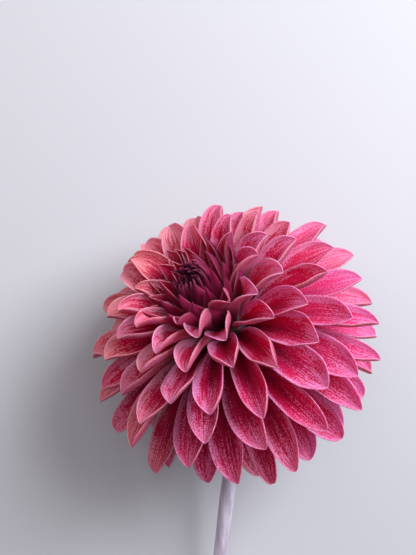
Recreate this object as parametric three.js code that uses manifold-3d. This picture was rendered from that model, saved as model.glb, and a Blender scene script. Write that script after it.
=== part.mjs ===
// A cut dahlia: one fully double bloom with its calyx and a length of stem, lying on a flat surface.
// Millimetres, +Z up. The surface is z = 0, and the stem runs from the bloom towards -Y.
// The bloom has its own frame: its axis runs out through the tight centre, and its middle is
// level with the widest petals. A petal is placed by the angle of its tip from that axis.
import * as THREE from 'three';
import { mergeVertices } from 'three/addons/utils/BufferGeometryUtils.js';
import Module from 'manifold-3d';

const wasm = await Module();
wasm.setup();

const rad = THREE.MathUtils.degToRad;
const mix = THREE.MathUtils.lerp;
const ease = THREE.MathUtils.smoothstep;
const GOLDEN_ANGLE = Math.PI * (3 - Math.sqrt(5));

// The bloom
const BLOOM_RADIUS = 61.5; // from its middle to the widest petal tips
const BUD_SHARE = 0.73; // height of the centre over the middle, as a share of the radius
const BACK_SHARE = 0.2; // how much the reflexed back petals draw in towards the stem
const BLOOM_LEAN = rad(47); // between its axis and the vertical
const LEAN_HEADING = rad(124); // which way the axis leans, from +X towards +Y
const BLOOM_PLACE = new THREE.Vector3(-0.695, 75.5, 46); // its middle
const PRESSED_FLAT = 2.5; // petals lower than this lie flat under the weight
const PRESSED_FREE = 10; // petals higher than this keep their own form
const CLEARANCE = 0.35; // between two pieces
const GRAIN = 0.005; // corners of a solid lie on a grid this fine, with no smaller steps between

// Open petals
const PETAL_COUNT = 150;
const PETAL_SPIRAL_START = 0.288; // azimuth of the first one, in radians
const PETAL_FIRST = rad(9.5); // tip angle of the first one, next to the centre
const PETAL_LAST = rad(141); // tip angle of the last one, nearest the stem
const PETAL_SPREAD_POWER = 1.1;
const PETAL_HALF_WIDTH = 8.4;
const YOUNG_HALF_WIDTH = 4.4;
const BACK_HALF_WIDTH = 7.6;
const OPENING = [rad(25), rad(35)]; // tip angles between which a young petal becomes an open one
const WIDENING = [rad(5), rad(44)]; // tip angles between which petals grow to their full width
const INCURVED = -rad(22); // direction of a young petal's tip: in over the centre
const REFLEXING = [rad(85), rad(125)]; // tip angles between which petals bend back to the stem
const SPOON_COMING = [rad(25), rad(33)]; // tip angles between which petals become short open spoons
const SPOON_GOING = [rad(39), rad(65)]; // and between which they cease to be
const SPOON_BEND = rad(60); // how much further out a spoon's tip points
const BLADE = 0.7; // thickness of a petal or bract
const PETAL_UNEVEN = {
  angle: 0.05,
  reach: 0.07,
  azimuth: rad(7),
  width: 0.12,
  cup: 0.35,
  roll: rad(26),
  swing: rad(9),
};
const CURVE_LEAVING = 0.9; // how far a petal keeps its direction at the root, in chords
const CURVE_ARRIVING = 0.75; // and at the tip

// Young florets still folded over the centre
const FLORET_COUNT = 34;
const FLORET_SPREAD = rad(8.5);
const FLORET_HALF_WIDTH = 3.0;
const FLORET_SWING = rad(30); // how far each one's tip turns round the axis
const FLORET_UNEVEN = { reach: 0.04, azimuth: rad(6), width: 0.15, roll: rad(20), swing: rad(10) };
const FLORET_NEIGHBOURS = 30; // open petals near enough to touch them

// The receptacle, where the roots stand, and the smaller core round it
const RECEPTACLE_RADIUS = 13;
const RECEPTACLE_RISE = 14;
const RECEPTACLE_LEVEL = 3;
const CORE_RADIUS = 26;
const CORE_TOP = 22;
const CORE_BOTTOM = -4;

// The calyx
const CALYX_TOP = CORE_BOTTOM - CLEARANCE;
const CALYX_BOTTOM = -11;
const INNER_BRACTS = {
  count: 8,
  phase: 0,
  thickness: BLADE,
  root: [11, -6.4],
  tip: [23, -13],
  rise: rad(94),
  fall: rad(132),
  halfWidth: 4.6,
};
const OUTER_BRACTS = {
  count: 5,
  phase: rad(20),
  thickness: 1,
  root: [6, -9.2],
  tip: [17, -20],
  rise: rad(98),
  fall: rad(162),
  halfWidth: 3.4,
};

// The stem
const STEM_RADIUS = 3.1;
const STEM_NECK_RADIUS = 4.1;
const STEM_SIDES = 12;
const STEM_STEPS = 20;
const NECK_STEPS = 5; // steps from the calyx over which the stem grows slimmer
const NECK_PULL = 16; // how far the neck keeps its direction at each end
const NECK_END = new THREE.Vector3(1.305, 29.5, 25); // where the stem becomes straight
const STEM_END = new THREE.Vector3(-16.695, -129.5, 3.05); // middle of the cut end

const tilt = new THREE.Quaternion().setFromUnitVectors(
  new THREE.Vector3(0, 0, 1),
  new THREE.Vector3(
    Math.sin(BLOOM_LEAN) * Math.cos(LEAN_HEADING),
    Math.sin(BLOOM_LEAN) * Math.sin(LEAN_HEADING),
    Math.cos(BLOOM_LEAN),
  ),
);

// A repeatable draw from -0.5 to 0.5 for petal k.
function draw(k, channel) {
  const s = Math.sin(k * 12.9898 + channel * 78.233) * 43758.5453;
  return s - Math.floor(s) - 0.5;
}

// From the bloom's frame to the part's frame.
function place(point) {
  return point.applyQuaternion(tilt).add(BLOOM_PLACE);
}

// The bloom's weight presses the petals under it: what is low lies flat on the surface.
function layOnSurface(point) {
  point.z = mix(BLADE / 2, point.z, ease(point.z, PRESSED_FLAT, PRESSED_FREE));
  return point;
}

// The rule for open petal k: where its tip and root are, how wide and how cupped it is.
function openPetal(k) {
  const share = ((k + 0.5) / PETAL_COUNT) ** PETAL_SPREAD_POWER;
  const angle = PETAL_FIRST + (PETAL_LAST - PETAL_FIRST) * share * (1 + PETAL_UNEVEN.angle * draw(k, 1));
  const front = BUD_SHARE + (1 - BUD_SHARE) * (1 - Math.cos(angle));
  const back = 1 - BACK_SHARE * (1 - Math.sin(angle));
  const form = angle < Math.PI / 2 ? front : back;
  const reach = BLOOM_RADIUS * form * (1 + PETAL_UNEVEN.reach * draw(k, 2));
  const root = mix(rad(28), rad(104), share);
  const young = 1 - ease(angle, ...OPENING);
  const reflexed = ease(angle, ...REFLEXING);
  const spoon = ease(angle, ...SPOON_COMING) * (1 - ease(angle, ...SPOON_GOING));
  const grown = mix(YOUNG_HALF_WIDTH, PETAL_HALF_WIDTH, ease(angle, ...WIDENING));
  return {
    angle,
    azimuth: PETAL_SPIRAL_START + GOLDEN_ANGLE * k + PETAL_UNEVEN.azimuth * draw(k, 3),
    root: new THREE.Vector2(
      RECEPTACLE_RADIUS * Math.sin(root),
      RECEPTACLE_LEVEL + RECEPTACLE_RISE * Math.cos(root),
    ),
    tip: new THREE.Vector2(reach * Math.sin(angle), reach * Math.cos(angle)),
    rise: root - mix(rad(16), rad(8), young) * (1 - reflexed),
    fall: mix(angle + rad(22) + rad(12) * reflexed + SPOON_BEND * spoon, INCURVED, young),
    halfWidth: mix(grown, BACK_HALF_WIDTH, reflexed) * (1 + PETAL_UNEVEN.width * draw(k, 4)),
    widest: mix(0.66, 0.5, young),
    footWidth: 0.26,
    pointed: young,
    cupFoot: 1.3,
    cupTip: mix(1.25, 0.75, young) * (1 + PETAL_UNEVEN.cup * draw(k, 5)),
    roll: PETAL_UNEVEN.roll * draw(k, 6),
    swing: PETAL_UNEVEN.swing * draw(k, 7) + rad(12) * young,
    start: 0.14,
  };
}

// The rule for folded floret k: the innermost bend over the centre.
function foldedFloret(k) {
  const share = (k + 0.5) / FLORET_COUNT;
  const angle = FLORET_SPREAD * Math.sqrt(share);
  const reach = BLOOM_RADIUS * BUD_SHARE * mix(0.9, 1, share) * (1 + FLORET_UNEVEN.reach * draw(k, 12));
  const root = rad(26) * Math.sqrt(share);
  return {
    azimuth: PETAL_SPIRAL_START - GOLDEN_ANGLE * (FLORET_COUNT - k) + FLORET_UNEVEN.azimuth * draw(k, 13),
    root: new THREE.Vector2(RECEPTACLE_RADIUS * Math.sin(root), CORE_TOP + 2),
    tip: new THREE.Vector2(reach * Math.sin(angle), reach * Math.cos(angle)),
    rise: mix(rad(6), rad(34), share),
    fall: mix(-rad(80), -rad(44), share),
    halfWidth: FLORET_HALF_WIDTH * mix(0.4, 1, share) * (1 + FLORET_UNEVEN.width * draw(k, 14)),
    widest: 0.5,
    footWidth: 0.6,
    pointed: 1,
    cupFoot: 1.0,
    cupTip: 0.9,
    roll: FLORET_UNEVEN.roll * draw(k, 15),
    swing: FLORET_SWING + FLORET_UNEVEN.swing * draw(k, 16),
    start: 0,
  };
}

// The rule for bract k of a whorl.
function bract(k, whorl) {
  return {
    azimuth: whorl.phase + (2 * Math.PI * k) / whorl.count + rad(8) * draw(k, 21),
    root: new THREE.Vector2(...whorl.root),
    tip: new THREE.Vector2(...whorl.tip),
    rise: whorl.rise,
    fall: whorl.fall,
    halfWidth: whorl.halfWidth * (1 + 0.2 * draw(k, 22)),
    widest: 0.45,
    footWidth: 0.7,
    pointed: 0.6,
    cupFoot: 0.6,
    cupTip: 0.5,
    roll: rad(20) * draw(k, 23),
    swing: 0,
    start: 0,
  };
}

// A petal's midline, seen from the side: a curve from root to tip with a set direction at each end.
function midline(petal, t) {
  const chord = petal.root.distanceTo(petal.tip);
  const leaving = new THREE.Vector2(Math.sin(petal.rise), Math.cos(petal.rise));
  const arriving = new THREE.Vector2(Math.sin(petal.fall), Math.cos(petal.fall));
  return new THREE.Vector2()
    .addScaledVector(petal.root, 2 * t ** 3 - 3 * t ** 2 + 1)
    .addScaledVector(leaving, chord * CURVE_LEAVING * (t ** 3 - 2 * t ** 2 + t))
    .addScaledVector(petal.tip, 3 * t ** 2 - 2 * t ** 3)
    .addScaledVector(arriving, chord * CURVE_ARRIVING * (t ** 3 - t ** 2));
}

// The middle surface of a petal, at t along it from 0 to 1 and v across it from -1 to 1.
function petalPoint(petal, t, v) {
  const middle = midline(petal, t);
  const along = midline(petal, t + 1e-3).sub(midline(petal, t - 1e-3)).normalize();
  const past = Math.max(0, (t - petal.widest) / (1 - petal.widest));
  const ending = (1 - past ** mix(2.8, 1.7, petal.pointed)) ** mix(0.6, 1.1, petal.pointed);
  const taper = mix(petal.footWidth, 1, ease(t, 0, petal.widest)) * ending;
  const width = petal.halfWidth * taper;
  const cup = mix(petal.cupFoot, petal.cupTip, ease(t, 0, 0.6));
  const roll = petal.roll * t;
  const side = (width / cup) * Math.sin(cup * v);
  const lift = (width / cup) * (1 - Math.cos(cup * v));
  const across = side * Math.cos(roll) - lift * Math.sin(roll);
  const up = side * Math.sin(roll) + lift * Math.cos(roll);
  const out = middle.x - along.y * up;
  const high = middle.y + along.x * up;
  const turn = petal.azimuth + petal.swing * t * t;
  const point = new THREE.Vector3(
    out * Math.cos(turn) - across * Math.sin(turn),
    out * Math.sin(turn) + across * Math.cos(turn),
    high,
  );
  return layOnSurface(place(point));
}

// A closed blade over a petal: two alike faces joined by a narrow edge, with one point at the tip.
function bladeGeometry(petal, thickness, along, across) {
  const corners = [];
  const faces = [];
  const step = 1e-3;
  for (let i = 0; i <= along; i++) {
    const t = petal.start + (1 - petal.start) * (i / along) ** 0.85;
    const columns = i === along ? 1 : across + 1;
    for (let j = 0; j < columns; j++) {
      const v = columns === 1 ? 0 : -1 + (2 * j) / across;
      const inner = Math.min(t, 1 - 20 * step);
      const du = petalPoint(petal, inner + step, v).sub(petalPoint(petal, inner - step, v));
      const dv = petalPoint(petal, inner, v + step).sub(petalPoint(petal, inner, v - step));
      const normal = du.cross(dv).normalize();
      const middle = petalPoint(petal, t, v);
      for (const face of [0.5, -0.5]) {
        const corner = middle.clone().addScaledVector(normal, face * thickness);
        corners.push(corner.x, corner.y, Math.max(corner.z, 0));
      }
    }
  }
  const at = (i, j, face) => 2 * (i * (across + 1) + (i === along ? 0 : j)) + face;
  const quad = (a, b, c, d) => {
    if (a !== b) faces.push(a, b, c);
    if (c !== d) faces.push(a, c, d);
  };
  for (let i = 0; i < along; i++) {
    for (let j = 0; j < across; j++) {
      quad(at(i + 1, j, 0), at(i + 1, j + 1, 0), at(i, j + 1, 0), at(i, j, 0));
      if (i < along - 1) faces.push(at(i + 1, j + 1, 1), at(i + 1, j, 1), at(i, j + 1, 1));
      faces.push(at(i, j + 1, 1), at(i + 1, j, 1), at(i, j, 1));
    }
    quad(at(i + 1, 0, 1), at(i + 1, 0, 0), at(i, 0, 0), at(i, 0, 1));
    quad(at(i + 1, across, 0), at(i + 1, across, 1), at(i, across, 1), at(i, across, 0));
  }
  for (let j = 0; j < across; j++) quad(at(0, j, 0), at(0, j + 1, 0), at(0, j + 1, 1), at(0, j, 1));
  const geometry = new THREE.BufferGeometry();
  geometry.setAttribute('position', new THREE.Float32BufferAttribute(corners, 3));
  geometry.setIndex(faces);
  return geometry;
}

function toSolid(geometry) {
  const bare = geometry.clone();
  for (const name of Object.keys(bare.attributes)) if (name !== 'position') bare.deleteAttribute(name);
  const merged = mergeVertices(bare, 1e-4);
  const position = merged.attributes.position;
  return new wasm.Manifold(
    new wasm.Mesh({
      numProp: 3,
      vertProperties: new Float32Array(position.array),
      triVerts: new Uint32Array(merged.index.array),
    }),
  );
}

function toGeometry(solid) {
  const mesh = solid.getMesh();
  const geometry = new THREE.BufferGeometry();
  geometry.setAttribute('position', new THREE.BufferAttribute(new Float32Array(mesh.vertProperties), 3));
  geometry.setIndex(new THREE.BufferAttribute(new Uint32Array(mesh.triVerts), 1));
  return geometry;
}

// The mesh of a finished solid, without the slivers that joining leaves where blades cross.
function cleanGeometry(solid) {
  const mesh = toSolid(toGeometry(solid)).simplify(GRAIN).getMesh();
  const whole = new THREE.BufferGeometry();
  const places = mesh.vertProperties.map((value) => Math.round(value / GRAIN) * GRAIN);
  whole.setAttribute('position', new THREE.BufferAttribute(places, 3));
  whole.setIndex(new THREE.BufferAttribute(new Uint32Array(mesh.triVerts), 1));
  const welded = mergeVertices(whole, GRAIN / 2);
  const corners = welded.index.array;
  const faces = [];
  for (let i = 0; i < corners.length; i += 3) {
    const [a, b, c] = corners.slice(i, i + 3);
    if (a !== b && b !== c && c !== a) faces.push(a, b, c);
  }
  welded.setIndex(faces);
  welded.computeVertexNormals();
  return welded;
}

// Joins solids and keeps the one body that holds together: loose scraps go, and sealed hollows are filled.
function join(solids) {
  const whole = wasm.Manifold.union(solids);
  return whole.decompose().reduce((a, b) => (b.volume() > a.volume() ? b : a));
}

// A body of revolution about the bloom's axis, from [radius, height] pairs.
function turned(profile, sides) {
  const points = profile.map(([radius, height]) => new THREE.Vector2(radius, height));
  const geometry = new THREE.LatheGeometry(points, sides);
  geometry.rotateX(Math.PI / 2);
  const position = geometry.attributes.position;
  for (let i = 0; i < position.count; i++) {
    const point = place(new THREE.Vector3().fromBufferAttribute(position, i));
    position.setXYZ(i, point.x, point.y, point.z);
  }
  return toSolid(geometry);
}

function petalSolid(petal, thickness, along, across) {
  return toSolid(bladeGeometry(petal, thickness, along, across));
}

// Open petals on the core that they stand out of.
function openPetals() {
  const core = turned(
    [
      [0, CORE_BOTTOM],
      [0.66 * CORE_RADIUS, CORE_BOTTOM],
      [0.93 * CORE_RADIUS, 0],
      [CORE_RADIUS, 7],
      [0.88 * CORE_RADIUS, 15],
      [0.6 * CORE_RADIUS, 20],
      [0.4 * CORE_RADIUS, CORE_TOP],
      [0, CORE_TOP],
    ],
    20,
  );
  const solids = [core];
  for (let k = 0; k < PETAL_COUNT; k++) solids.push(petalSolid(openPetal(k), BLADE, 3, 2));
  return join(solids);
}

// Folded florets on a core of their own, cut clear of the open petals round them.
function foldedFlorets() {
  const core = turned(
    [
      [0, CORE_TOP + CLEARANCE],
      [8, CORE_TOP + CLEARANCE],
      [7.5, 28],
      [5, 33],
      [0, 36],
    ],
    12,
  );
  const solids = [core];
  for (let k = 0; k < FLORET_COUNT; k++) solids.push(petalSolid(foldedFloret(k), BLADE, 3, 2));
  let centre = join(solids);
  for (let k = 0; k < FLORET_NEIGHBOURS; k++) {
    const petal = openPetal(k);
    petal.halfWidth += CLEARANCE;
    centre = centre.subtract(petalSolid(petal, BLADE + 2 * CLEARANCE, 3, 2));
  }
  return join([centre]);
}

// The green cup under the petals, with two whorls of bracts.
function calyx() {
  const cup = turned(
    [
      [0, CALYX_BOTTOM],
      [STEM_NECK_RADIUS + 0.4, CALYX_BOTTOM],
      [9, -8.5],
      [13.5, -5.5],
      [14, CALYX_TOP],
      [0, CALYX_TOP],
    ],
    20,
  );
  const solids = [cup];
  for (const whorl of [INNER_BRACTS, OUTER_BRACTS]) {
    for (let k = 0; k < whorl.count; k++) solids.push(petalSolid(bract(k, whorl), whorl.thickness, 3, 2));
  }
  return join(solids);
}

// The stem leaves the calyx along the bloom's axis, bends at the neck and runs straight to its cut end.
function stemPath() {
  const top = place(new THREE.Vector3(0, 0, CALYX_BOTTOM - CLEARANCE));
  const pulled = place(new THREE.Vector3(0, 0, CALYX_BOTTOM - CLEARANCE - NECK_PULL));
  const straight = new THREE.Vector3().subVectors(STEM_END, NECK_END).normalize();
  const before = NECK_END.clone().addScaledVector(straight, -NECK_PULL);
  const path = new THREE.CurvePath();
  path.add(new THREE.CubicBezierCurve3(top, pulled, before, NECK_END));
  path.add(new THREE.LineCurve3(NECK_END, STEM_END));
  return path;
}

function stem() {
  const path = stemPath();
  const section = new THREE.Shape().absarc(0, 0, 1, 0, 2 * Math.PI);
  const geometry = new THREE.ExtrudeGeometry(section, {
    steps: STEM_STEPS,
    extrudePath: path,
    curveSegments: STEM_SIDES / 2,
    bevelEnabled: false,
  });
  // The section has a radius of 1, so each ring is scaled about the path: widest at the neck.
  const middles = path.getSpacedPoints(STEM_STEPS);
  const position = geometry.attributes.position;
  const corner = new THREE.Vector3();
  for (let i = 0; i < position.count; i++) {
    corner.fromBufferAttribute(position, i);
    const distances = middles.map((middle) => middle.distanceTo(corner));
    const ring = distances.indexOf(Math.min(...distances));
    const radius = mix(STEM_NECK_RADIUS, STEM_RADIUS, ease(ring, 0, NECK_STEPS));
    corner.sub(middles[ring]).multiplyScalar(radius).add(middles[ring]);
    position.setXYZ(i, corner.x, corner.y, Math.max(corner.z, 0));
  }
  return toSolid(geometry);
}

const group = new THREE.Group();

function addNode(name, solid, colour, roughness) {
  const material = new THREE.MeshStandardMaterial({ color: colour, roughness, metalness: 0 });
  const mesh = new THREE.Mesh(cleanGeometry(solid), material);
  mesh.name = name;
  group.add(mesh);
}

addNode('open_petals', openPetals(), 0xb5304f, 0.6);
addNode('folded_florets', foldedFlorets(), 0x5c1230, 0.6);
addNode('calyx', calyx(), 0x7d8f4e, 0.7);
addNode('stem', stem(), 0x8d7f94, 0.55);

export default group;
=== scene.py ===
"""A cut dahlia: one fully double crimson bloom with its calyx and stem, lying on a surface."""

import math
from collections import namedtuple
from contextlib import contextmanager
from math import radians

import bpy
import numpy as np
from bpy.props import FloatProperty, FloatVectorProperty, IntProperty, PointerProperty
from mathutils import Matrix, Vector


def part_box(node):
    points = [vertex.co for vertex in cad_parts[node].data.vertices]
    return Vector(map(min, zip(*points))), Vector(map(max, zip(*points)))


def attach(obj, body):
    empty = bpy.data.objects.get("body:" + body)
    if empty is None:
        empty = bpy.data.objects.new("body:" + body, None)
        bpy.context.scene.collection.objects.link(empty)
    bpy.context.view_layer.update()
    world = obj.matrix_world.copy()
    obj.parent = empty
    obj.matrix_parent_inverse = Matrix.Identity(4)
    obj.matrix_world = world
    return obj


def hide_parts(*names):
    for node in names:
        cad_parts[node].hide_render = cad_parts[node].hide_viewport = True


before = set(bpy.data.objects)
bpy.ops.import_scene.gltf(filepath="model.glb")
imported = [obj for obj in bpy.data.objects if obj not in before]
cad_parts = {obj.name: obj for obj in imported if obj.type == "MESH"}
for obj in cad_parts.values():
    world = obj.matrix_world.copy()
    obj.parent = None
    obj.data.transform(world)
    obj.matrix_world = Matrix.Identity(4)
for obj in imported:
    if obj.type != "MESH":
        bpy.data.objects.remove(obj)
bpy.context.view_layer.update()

bl_info = {
    "name": "Cut dahlia",
    "version": (1, 0, 0),
    "blender": (4, 5, 0),
    "location": "3D View > Sidebar > Dahlia",
    "description": "Models a cut dahlia petal by petal, with its calyx and stem, and a studio",
    "category": "Add Mesh",
}

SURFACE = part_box("open_petals")[0][2]  # height of what the flower lies on, in metres
MM = 0.001
GOLDEN_ANGLE = math.pi * (3 - math.sqrt(5))

# The values that follow, down to the stem's, are in millimetres and radians. Those that the
# part's source has too are named as they are there. Heights are measured along the bloom's axis
# from its middle, and tip angles from the axis. An UNEVEN table gives each feature the channel of
# its repeatable draw and the whole span of its values, and a FORM table what all have alike.

# The bloom
BUD_SHARE = 0.73  # height of the centre over the middle, as a share of the radius
BACK_SHARE = 0.2  # how much the reflexed back petals draw in towards the stem
PRESSED_FLAT = 2.5  # petals lower than this lie flat under the weight
PRESSED_FREE = 10  # petals higher than this keep their own form
OVER_SURFACE = 0.05  # how far clear of the surface the lowest points stay
CLEARANCE = 0.35  # between two pieces

# Open petals. A pair is for an open petal and a young one, if its comment says nothing else.
WHORLS = 8  # pieces that the petals are joined to, from the centre outwards
PETAL_SPIRAL_START = 0.288  # azimuth of the first one
PETAL_FIRST = radians(9.5)  # tip angle of the first one, next to the centre
PETAL_LAST = radians(141)  # tip angle of the last one, nearest the stem
PETAL_SPREAD_POWER = 1.1
PETAL_ROOTS = (radians(28), radians(104))  # root angles of the first one and the last
YOUNG_HALF_WIDTH = 4.4
BACK_HALF_WIDTH = 7.6
PETAL_RISE = (radians(-16), radians(-8))  # direction at the root, from the root's own angle
OUT_TURN = radians(12)  # how much further out than its place an open petal's tip points
INCURVED = radians(-22)  # direction of a young petal's tip: in over the centre
REFLEXED_TURN = radians(16)  # how much further out the tip of a petal points that is bent back
SPOON_BEND = radians(60)  # how much further out a spoon's tip points
SPOON_LIP = 2.5  # how much further its margins turn up
PETAL_FOOT = 0.26  # width at the root, as a share of the full width
PETAL_WIDEST = (0.66, 0.5)
PETAL_CUP_FOOT = 1.3
PETAL_CUP_TIP = (1.25, 0.75)
PETAL_CREASE = (13, 36)  # in degrees
PETAL_KEEL = (0.72, 0.05)
PETAL_HOOD = (0.10, 0.3)  # of a plain petal and of a spoon
PETAL_POINT = 0.2
PETAL_WAVE = 0.13
YOUNG_SWING = radians(12)
WARM_SIDE = radians(155)  # petals that point this way have salmon margins, others lilac ones
WARM_SWAY = 0.6
LIT_SIDE = radians(70)  # outer petals that point this way get painted light, paler all over; those opposite get painted shade, duskier
# How much painted light the outer petals get all over, and how far it sways by side into painted
# shade
SIDE_LIGHT_EVERYWHERE = 0.3
SIDE_LIGHT_SWAY = 0.7
PETAL_UNEVEN = {
    "angle": (1, 0.05), "reach": (2, 0.07), "azimuth": (3, radians(7)), "width": (4, 0.12),
    "cup": (5, 0.6), "roll": (6, radians(26)), "swing": (7, radians(9)), "lip": (31, 1.8),
    "lip_bias": (32, 1.3), "crease": (33, 0.8), "hood": (34, 0.25), "wave": (35, 1),
    "phase": (36, 6.28), "warmth": (37, 0.7), "shade": (38, 1), "point": (39, 0.4),
}

# Tip angles over which a change comes about, from the centre outwards
WIDENING = (radians(5), radians(44))  # petals grow to their full width
AGEING = (radians(18), radians(44))  # they take on their full colours
OPENING = (radians(25), radians(35))  # young petals become open ones
SPOON_COMING = (radians(25), radians(33))  # petals become short spoons
SPOON_GOING = (radians(39), radians(65))  # they cease to be spoons
SIDE_LIGHTING = (radians(60), radians(92))  # outer petals take on painted light and shade by their side
REFLEXING = (radians(85), radians(125))  # they bend back to the stem

# Young florets still folded over the centre. A pair is for the innermost and for the outermost.
FLORET_SPREAD = radians(8.5)  # tip angle of the outermost
FLORET_ROOTS = radians(26)  # and its root angle
FLORET_REACH = (0.9, 1)  # shares of the centre's height
FLORET_WIDTH = (0.4, 1)  # shares of the half width
FLORET_RISE = (radians(6), radians(34))
FLORET_FALL = (radians(-80), radians(-44))
FLORET_SWING = radians(30)  # how far each one's tip turns round the axis
FLORET_LIP = radians(50)
FLORET_AGE = 0.35  # of the outermost, where 1 is an open petal's
FLORET_FORM = {
    "widest": 0.5, "foot": 0.6, "point": 1.0, "cup_foot": 1.0, "cup_tip": 0.9,
    "crease": radians(40), "keel": 0.1, "hood": 0.2, "wave": 0.0, "phase": 0.0, "painted_side_light": 0.0,
}
FLORET_UNEVEN = {
    "reach": (12, 0.04), "azimuth": (13, radians(6)), "width": (14, 0.15),
    "roll": (15, radians(20)), "swing": (16, radians(10)), "lip": (41, 0.6),
    "lip_bias": (42, 0.5), "warmth": (47, 1), "shade": (48, 1),
}

# The receptacle, which the roots stand in. A profile's points are [radius, height].
RECEPTACLE_RADIUS = 13
RECEPTACLE_RISE = 14
RECEPTACLE_LEVEL = 3
RECEPTACLE_PROFILE = (
    (6, -4), (12, -4), (16, 0), (17, 6), (15, 12), (10, 18), (7, 25), (4, 31), (1, 34)
)
RECEPTACLE_SIDES = 24
FLORET_LEVEL = 24  # height of the folded florets' roots

# The calyx
CALYX_BOTTOM = -11
CUP_PROFILE = ((3, -11.2), (4.6, -11), (7, -9.8), (10, -8), (13.5, -5.6), (14, -4.4), (12, -3.6))
CUP_SIDES = 20
BRACT_BLADE = 0.8
BRACT_RIPPLE = 3  # how far each one's ripple is ahead of the last one's
BRACT_FORM = {
    "widest": 0.45, "foot": 0.7, "point": 0.6, "cup_foot": 0.6, "cup_tip": 0.5,
    "lip": radians(14), "lip_bias": 0.0, "crease": radians(14), "keel": 0.5, "hood": 0.0,
    "wave": 0.25, "swing": 0.0, "painted_side_light": 0.0,
}
INNER_BRACTS = {
    "count": 8, "phase": 0, "half_width": 4.6,
    "root": (11, -6.4), "tip": (23, -13), "rise": radians(94), "fall": radians(132),
}
OUTER_BRACTS = {
    "count": 5, "phase": radians(20), "half_width": 3.4,
    "root": (6, -9.2), "tip": (17, -20), "rise": radians(98), "fall": radians(162),
}
BRACT_UNEVEN = {
    "azimuth": (21, radians(8)), "width": (22, 0.2), "roll": (23, radians(20)),
    "warmth": (24, 1), "shade": (25, 1),
}

# The stem, whose places are in the part's frame
NECK_PULL = 16  # how far the neck keeps its direction at each end
NECK_END = Vector((1.305, 29.5, 25))  # where the stem becomes straight
STEM_END = Vector((-16.695, -129.5, 3.05))  # middle of the cut end
STEM_NECK_RADIUS = 4.1
STEM_RADIUS = 3.1
NECK_LENGTH = 50  # way from the calyx over which the stem grows slimmer
STEM_SWELL = 0.12  # how much thicker and thinner it gets further on
STEM_SWELL_LENGTH = 9
STEM_STEPS = 24  # of the neck, and of the straight stem
STEM_ROUNDNESS = 6
END_REACH = 8  # an end's open edge lies within this of the end's middle
CUT_SKIN = 0.5  # width of the ring of skin round the cut end
CUT_PITH = ((1.1, -0.1), (0.2, -0.9))  # width and depth of the rings inside it
CUT_EDGE = radians(40)  # an edge sharper than this shows

# How a petal is bent. Places along it run from 0 at the root to 1 at the tip, and those across it
# from -1 to 1. A stretch is where along it something grows.
CURVE_LEAVING = 0.9  # how far a petal keeps its direction at the root, in chords
CURVE_ARRIVING = 0.75  # and at the tip
SECTION_STEPS = 20  # from the midline to a margin
TIP_ROUNDING = (2.8, 1.7)  # of a blunt tip and of a pointed one
TIP_CLOSING = (0.6, 1.1)  # of a blunt tip and of a pointed one
CUP_STRETCH = (0, 0.6)
LIP_STRETCH = (0.25, 0.6)
LIP_POWER = 4
CREASE_END = 0.98
CREASE_WIDTH = 0.12  # as a share of the half width
HOOD_POWER = 2.5
WAVE_STRETCH = (0.3, 0.5)
WAVE_POWER = 3
WAVE_TURNS = 15  # how fast the ripple runs along the margins
WAVE_SHIFT = 2  # how far it runs ahead on one side and behind on the other

# The flat blanks that petals are bent from, by rows and columns
PETAL_BLANK = (30, 14)
FLORET_BLANK = (16, 8)
BRACT_BLANK = (14, 8)
BLANK_START = 0.06  # place along the petal where the blank begins, inside the receptacle
BLANK_CROWDING = 1.5  # rows stand closer towards the tip
PETAL_UV = "petal"
TINY = 1e-4  # less than any step of a blank
DOUBLES = 1e-6  # points closer than this are one point, in metres
SMOOTHING = 2  # levels of subdivision of a turned body

# The studio, in metres. A light has its place from the bloom's middle, its share of the key
# light's power and its tone.
LIGHTS = {
    "key": ((0.48, 0.38, 0.52), 1.0, (1.0, 0.97, 1.0)),
    "fill": ((-0.42, 0.42, 0.35), 0.12, (1.0, 0.84, 0.78)),
    "top": ((0.0, 0.2, 0.75), 0.12, (1.0, 0.95, 0.95)),
}
LIGHT_SIZE = 0.5
SKY_TONE = (0.96, 0.93, 1.0)
FLOOR_SIZE = 3
FLOOR_DROP = 0.0002  # how far under the surface the floor is drawn
FLOOR_ROUGHNESS = 0.9
CAMERA_OFFSET = (-0.0095, 0.0245)  # from the bloom's middle, seen from above
CAMERA_NEAR = 0.01
SENSOR_MM = 36
FOCAL_PIXELS = 829
PHOTO_HEIGHT_PIXELS = 555


def mix(a, b, share):
    """What lies at the given share of the way from a to b."""
    return a + (b - a) * share


def ease(value, low, high):
    """0 below low and 1 above high, with a smooth change between."""
    share = np.clip((value - low) / (high - low), 0, 1)
    return share * share * (3 - 2 * share)


def chance(k, channel):
    """A repeatable draw from -0.5 to 0.5 for petal k."""
    s = math.sin(k * 12.9898 + channel * 78.233) * 43758.5453
    return s - math.floor(s) - 0.5


def unevenness(k, spans):
    """A function that gives how far off the rule petal k is in one of the features in spans."""

    def own(feature):
        channel, span = spans[feature]
        return span * chance(k, channel)

    return own


def length_of(name, description, default, low=0.0):
    """A length that a user may change, in metres."""
    return FloatProperty(
        name=name, description=description, default=default, min=low, unit="LENGTH", precision=4
    )


def angle_of(name, description, degrees):
    """An angle that a user may change."""
    return FloatProperty(
        name=name, description=description, default=radians(degrees), unit="ROTATION"
    )


def colour_of(name, description, default):
    """A colour that a user may change."""
    return FloatVectorProperty(
        name=name, description=description, default=default, size=3, min=0, max=1, subtype="COLOR"
    )


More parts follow.
